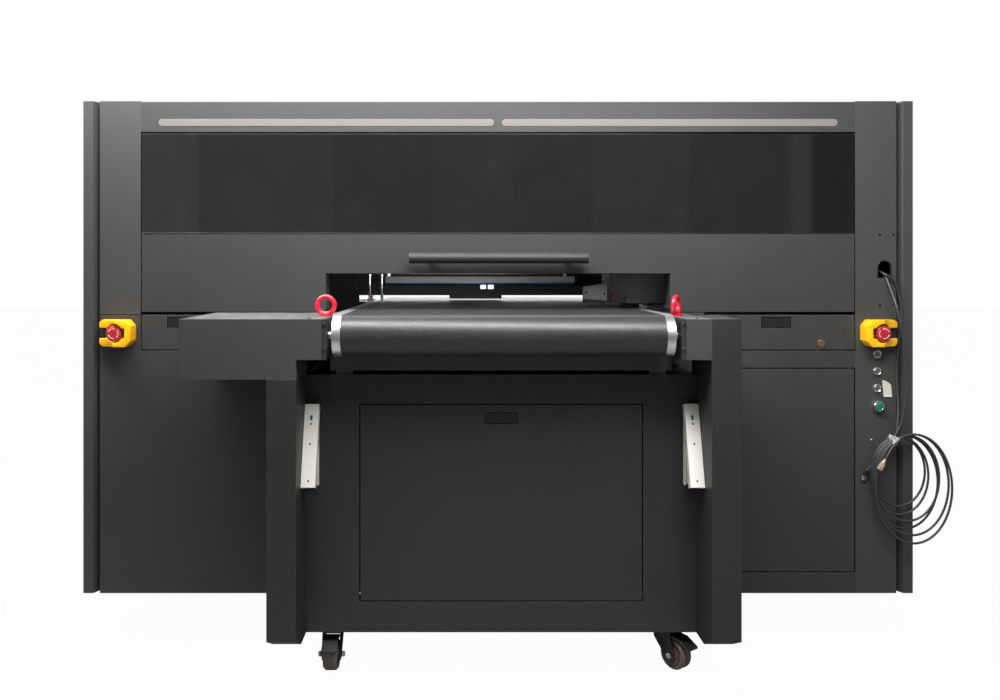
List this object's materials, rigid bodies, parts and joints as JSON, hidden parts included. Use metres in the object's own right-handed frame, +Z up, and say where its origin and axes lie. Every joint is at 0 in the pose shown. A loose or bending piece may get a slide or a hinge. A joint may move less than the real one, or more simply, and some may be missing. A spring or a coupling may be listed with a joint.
{
  "type": "flatbed uv printer",
  "caption": "Belt-fed flatbed UV printer: wide body with lift-up smoked hood over a conveyor table, stand cabinets on casters, emergency stops and hanging leads.",
  "frame": {"origin": "on the floor below the middle of the machine", "axes": "+Z up, +X along the wide body towards the push-button column, -Y towards the operator"},
  "size_m": [2.283, 1.44, 1.44],
  "materials": {
    "body_coat": "fine textured powder coat, charcoal",
    "stand_coat": "fine textured powder coat, darker charcoal",
    "frame_coat": "semi-gloss paint on welded bars",
    "light_diffuser": "milky diffuser",
    "smoked_window": "dark smoked acrylic, polished",
    "belt_rubber": "smooth glossy conveyor belt",
    "aluminium": "machined aluminium",
    "bright_steel": "ground steel",
    "motor_paint": "smooth enamel",
    "eye_red": "red lacquer",
    "bracket_cream": "cream enamel",
    "caster_black": "black e-coat",
    "wheel_tread": "grey-brown polyurethane",
    "guard_yellow": "yellow moulded plastic",
    "estop_red": "red moulded plastic",
    "button_metal": "polished bezel",
    "button_face": "satin push face",
    "green_face": "green push face",
    "copper_lock": "coppery lock face",
    "latch_black": "black moulded plastic",
    "ink_plastic": "translucent tank plastic",
    "zinc": "zinc-plated sheet",
    "head_black": "print head housing",
    "cable_grey": "dark grey cable jacket",
    "plug_gold": "beige plug with plated tip"
  },
  "bodies": {
    "frame": {"base_frame": "frame_coat", "left_column": "body_coat", "right_column": "body_coat", "side_covers": "body_coat", "top_cover": "body_coat", "light_bars": "light_diffuser", "body_panels": "body_coat", "stand_posts": "stand_coat", "cabinet_shells": "stand_coat", "belt_table": "zinc", "conveyor_belt": "belt_rubber", "conveyor_rails": "stand_coat", "conveyor_covers": "stand_coat", "belt_motor": "motor_paint", "lifting_eyes": "eye_red", "shelf_bracket_legs": "bracket_cream", "caster_mounts": "caster_black", "estop_guards": "guard_yellow", "switch_bodies": "button_metal", "ink_system": "ink_plastic", "control_box": "zinc", "hinge_pins": "bright_steel", "cable_a": "cable_grey", "cable_b": "cable_grey", "cable_coil": "cable_grey", "cable_plugs": "plug_gold"},
    "hood": {"hood_panel": "body_coat", "hood_window": "smoked_window", "hood_handle": "stand_coat"},
    "right_door": {"right_door": "body_coat"},
    "left_flap": {"left_flap": "body_coat"},
    "right_flap": {"right_flap": "body_coat"},
    "cabinet_door": {"cabinet_door": "stand_coat"},
    "cabinet_door_latch": {"cabinet_door_latch": "latch_black"},
    "left_flap_latch": {"left_flap_latch": "latch_black"},
    "right_flap_latch": {"right_flap_latch": "latch_black"},
    "cam_lock": {"cam_lock": "copper_lock"},
    "front_roller": {"front_roller": "aluminium"},
    "rear_roller": {"rear_roller": "aluminium"},
    "left_caster_fork": {"left_caster_fork": "caster_black"},
    "right_caster_fork": {"right_caster_fork": "caster_black"},
    "front_left_wheel": {"front_left_wheel": "wheel_tread"},
    "front_right_wheel": {"front_right_wheel": "wheel_tread"},
    "rear_left_wheel": {"rear_left_wheel": "wheel_tread"},
    "rear_right_wheel": {"rear_right_wheel": "wheel_tread"},
    "left_brake_pedal": {"left_brake_pedal": "caster_black"},
    "right_brake_pedal": {"right_brake_pedal": "caster_black"},
    "left_estop_head": {"left_estop_head": "estop_red"},
    "right_estop_head": {"right_estop_head": "estop_red"},
    "top_button": {"top_button": "button_face"},
    "middle_button": {"middle_button": "button_face"},
    "lower_button": {"lower_button": "button_face"},
    "green_button": {"green_button": "green_face"},
    "left_shelf_arm": {"left_shelf_arm": "bracket_cream"},
    "right_shelf_arm": {"right_shelf_arm": "bracket_cream"},
    "left_shelf_link": {"left_shelf_link": "bracket_cream"},
    "right_shelf_link": {"right_shelf_link": "bracket_cream"},
    "gantry": {"gantry_beam": "aluminium"},
    "carriage": {"print_carriage": "motor_paint", "print_heads": "head_black"}
  },
  "joints": [
    {"name": "hood_hinge", "type": "hinge", "parent": "frame", "child": "hood", "pos_m": [0, -0.388, 1.333], "axis": [-1, 0, 0], "range_deg": [0, 80]},
    {"name": "right_door_hinge", "type": "hinge", "parent": "frame", "child": "right_door", "pos_m": [0.932, -0.392, 0.461], "axis": [0, 0, 1], "range_deg": [0, 90]},
    {"name": "left_flap_hinge", "type": "hinge", "parent": "frame", "child": "left_flap", "pos_m": [-0.847, -0.392, 0.796], "axis": [1, 0, 0], "range_deg": [0, 90]},
    {"name": "right_flap_hinge", "type": "hinge", "parent": "frame", "child": "right_flap", "pos_m": [0.747, -0.392, 0.796], "axis": [1, 0, 0], "range_deg": [0, 90]},
    {"name": "cabinet_door_hinge", "type": "hinge", "parent": "frame", "child": "cabinet_door", "pos_m": [0, -0.573, 0.197], "axis": [1, 0, 0], "range_deg": [0, 90]},
    {"name": "cabinet_latch_pivot", "type": "hinge", "parent": "cabinet_door", "child": "cabinet_door_latch", "pos_m": [0, -0.578, 0.6395], "axis": [-1, 0, 0], "range_deg": [0, 30], "stiffness_Nm_per_rad": 0.2, "springref_deg": -11.46},
    {"name": "left_flap_latch_pivot", "type": "hinge", "parent": "left_flap", "child": "left_flap_latch", "pos_m": [-0.838, -0.397, 0.8635], "axis": [-1, 0, 0], "range_deg": [0, 30], "stiffness_Nm_per_rad": 0.2, "springref_deg": -11.46},
    {"name": "right_flap_latch_pivot", "type": "hinge", "parent": "right_flap", "child": "right_flap_latch", "pos_m": [0.738, -0.397, 0.8635], "axis": [-1, 0, 0], "range_deg": [0, 30], "stiffness_Nm_per_rad": 0.2, "springref_deg": -11.46},
    {"name": "cam_lock_turn", "type": "hinge", "parent": "right_flap", "child": "cam_lock", "pos_m": [0.857, -0.4, 0.797], "axis": [0, 1, 0], "range_deg": [0, 90]},
    {"name": "front_roller_spin", "type": "hinge", "parent": "frame", "child": "front_roller", "pos_m": [0, -0.671, 0.838], "axis": [1, 0, 0], "continuous": true},
    {"name": "rear_roller_spin", "type": "hinge", "parent": "frame", "child": "rear_roller", "pos_m": [0, 0.671, 0.838], "axis": [1, 0, 0], "continuous": true},
    {"name": "left_caster_swivel", "type": "hinge", "parent": "frame", "child": "left_caster_fork", "pos_m": [-0.42, -0.52, 0.09], "axis": [0, 0, 1], "continuous": true},
    {"name": "right_caster_swivel", "type": "hinge", "parent": "frame", "child": "right_caster_fork", "pos_m": [0.42, -0.52, 0.09], "axis": [0, 0, 1], "continuous": true},
    {"name": "front_left_wheel_spin", "type": "hinge", "parent": "left_caster_fork", "child": "front_left_wheel", "pos_m": [-0.42, -0.548, 0.0375], "axis": [1, 0, 0], "continuous": true},
    {"name": "front_right_wheel_spin", "type": "hinge", "parent": "right_caster_fork", "child": "front_right_wheel", "pos_m": [0.43724, -0.54206, 0.0375], "axis": [0.788, 0.6157, 0], "continuous": true},
    {"name": "rear_left_wheel_spin", "type": "hinge", "parent": "frame", "child": "rear_left_wheel", "pos_m": [-0.42, 0.52, 0.0375], "axis": [1, 0, 0], "continuous": true},
    {"name": "rear_right_wheel_spin", "type": "hinge", "parent": "frame", "child": "rear_right_wheel", "pos_m": [0.42, 0.52, 0.0375], "axis": [1, 0, 0], "continuous": true},
    {"name": "left_brake_tilt", "type": "hinge", "parent": "left_caster_fork", "child": "left_brake_pedal", "pos_m": [-0.42, -0.544, 0.081], "axis": [1, 0, 0], "range_deg": [0, 10]},
    {"name": "right_brake_tilt", "type": "hinge", "parent": "right_caster_fork", "child": "right_brake_pedal", "pos_m": [0.43478, -0.53891, 0.081], "axis": [0.788, 0.6157, 0], "range_deg": [0, 10]},
    {"name": "left_estop_press", "type": "slide", "parent": "frame", "child": "left_estop_head", "axis": [0, 1, 0], "range_m": [0, 0.005]},
    {"name": "right_estop_press", "type": "slide", "parent": "frame", "child": "right_estop_head", "axis": [0, 1, 0], "range_m": [0, 0.005]},
    {"name": "top_button_press", "type": "slide", "parent": "frame", "child": "top_button", "axis": [0, 1, 0], "range_m": [0, 0.003], "stiffness_N_per_m": 400, "springref_m": -0.003},
    {"name": "middle_button_press", "type": "slide", "parent": "frame", "child": "middle_button", "axis": [0, 1, 0], "range_m": [0, 0.003], "stiffness_N_per_m": 400, "springref_m": -0.003},
    {"name": "lower_button_press", "type": "slide", "parent": "frame", "child": "lower_button", "axis": [0, 1, 0], "range_m": [0, 0.003], "stiffness_N_per_m": 400, "springref_m": -0.003},
    {"name": "green_button_press", "type": "slide", "parent": "frame", "child": "green_button", "axis": [0, 1, 0], "range_m": [0, 0.004], "stiffness_N_per_m": 400, "springref_m": -0.003},
    {"name": "left_shelf_hinge", "type": "hinge", "parent": "frame", "child": "left_shelf_arm", "pos_m": [-0.46, -0.593, 0.655], "axis": [-1, 0, 0], "range_deg": [-10, 72]},
    {"name": "left_shelf_link_pivot", "type": "hinge", "parent": "left_shelf_arm", "child": "left_shelf_link", "pos_m": [-0.46, -0.61772, 0.57891], "axis": [1, 0, 0], "range_deg": [-19, 112]},
    {"name": "right_shelf_hinge", "type": "hinge", "parent": "frame", "child": "right_shelf_arm", "pos_m": [0.46, -0.593, 0.655], "axis": [-1, 0, 0], "range_deg": [-10, 72]},
    {"name": "right_shelf_link_pivot", "type": "hinge", "parent": "right_shelf_arm", "child": "right_shelf_link", "pos_m": [0.46, -0.61772, 0.57891], "axis": [1, 0, 0], "range_deg": [-19, 112]},
    {"name": "gantry_lift", "type": "slide", "parent": "frame", "child": "gantry", "axis": [0, 0, 1], "range_m": [0, 0.08]},
    {"name": "carriage_travel", "type": "slide", "parent": "gantry", "child": "carriage", "axis": [-1, 0, 0], "range_m": [0, 1.17]}
  ],
  "couplings": [
    {"joint": "rear_roller_spin", "follows": "front_roller_spin", "ratio": 1},
    {"joint": "left_shelf_link_pivot", "follows": "left_shelf_hinge", "ratio": 1.54},
    {"joint": "right_shelf_link_pivot", "follows": "right_shelf_hinge", "ratio": 1.54}
  ]
}
